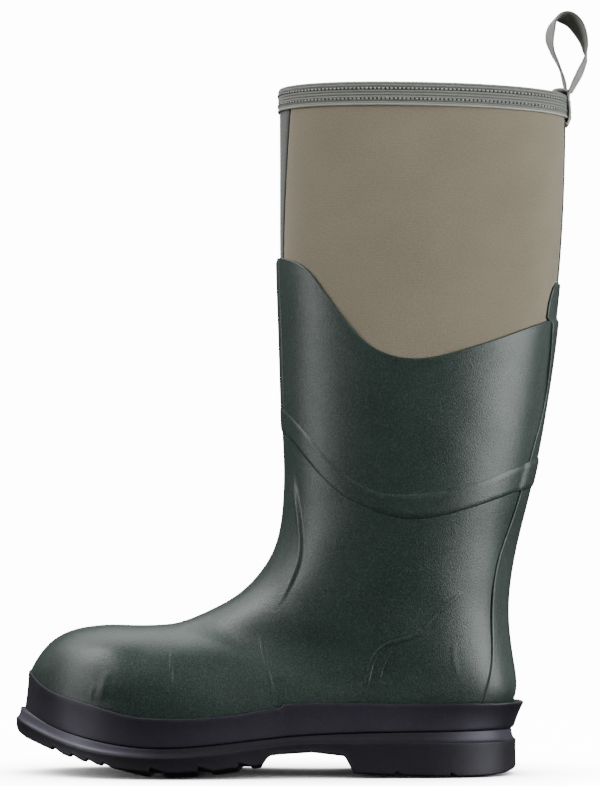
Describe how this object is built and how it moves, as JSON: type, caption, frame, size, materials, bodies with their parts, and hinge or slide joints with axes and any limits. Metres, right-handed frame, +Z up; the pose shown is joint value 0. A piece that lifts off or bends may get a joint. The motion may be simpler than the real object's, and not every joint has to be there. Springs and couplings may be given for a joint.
{
  "type": "insulated rubber boot",
  "caption": "Tall insulated pull-on boot for the left foot: neoprene sock, moulded rubber shell, lugged sole, bound top edge and a webbing pull loop that folds both ways.",
  "frame": {"origin": "bottom centre of the whole boot's box, on the ground the tread stands on", "axes": "+X from the toe to the heel, +Y to the inner side of the left foot, +Z up the shaft"},
  "size_m": [0.3425, 0.1102, 0.4552],
  "materials": {
    "outsole_rubber": "matte",
    "midsole_foam": "matte",
    "fibre_board": "matte",
    "shank_steel": "satin",
    "foxing_rubber": "satin",
    "shell_rubber": "satin",
    "neoprene_tan": "matte",
    "neoprene_grey": "matte",
    "piping": "matte",
    "neoprene_inner": "matte",
    "cap_composite": "matte",
    "edge_foam": "matte",
    "counter_board": "matte",
    "fleece": "matte",
    "footbed_foam": "matte",
    "footbed_fabric": "matte",
    "binding_tape": "matte",
    "thread": "matte",
    "webbing": "matte"
  },
  "bodies": {
    "boot": {"outsole": "outsole_rubber", "midsole": "midsole_foam", "insole_board": "fibre_board", "shank": "shank_steel", "toe_bumper": "foxing_rubber", "heel_foxing": "foxing_rubber", "rubber_shell": "shell_rubber", "heel_spine_strip": "shell_rubber", "calf_band": "shell_rubber", "shin_strip": "shell_rubber", "instep_overlay": "shell_rubber", "neoprene_panel_lateral": "neoprene_tan", "neoprene_panel_medial": "neoprene_tan", "front_gusset": "neoprene_grey", "back_gusset": "neoprene_grey", "seam_piping": "piping", "sock_foot": "neoprene_inner", "toe_cap": "cap_composite", "toe_cap_edge": "edge_foam", "heel_counter": "counter_board", "lining_shaft": "fleece", "lining_foot": "fleece", "footbed": "footbed_foam", "footbed_cover": "footbed_fabric", "top_binding": "binding_tape", "binding_stitching": "thread", "loop_tab_outer": "webbing", "loop_tab_inner": "webbing", "loop_bartacks": "thread"},
    "pull_loop": {"pull_loop": "webbing"}
  },
  "joints": [
    {"name": "loop_fold", "type": "hinge", "parent": "boot", "child": "pull_loop", "pos_m": [0.1622, 0, 0.4076], "axis": [0, 1, 0], "range_deg": [-50, 115], "stiffness_Nm_per_rad": 0.02}
  ]
}
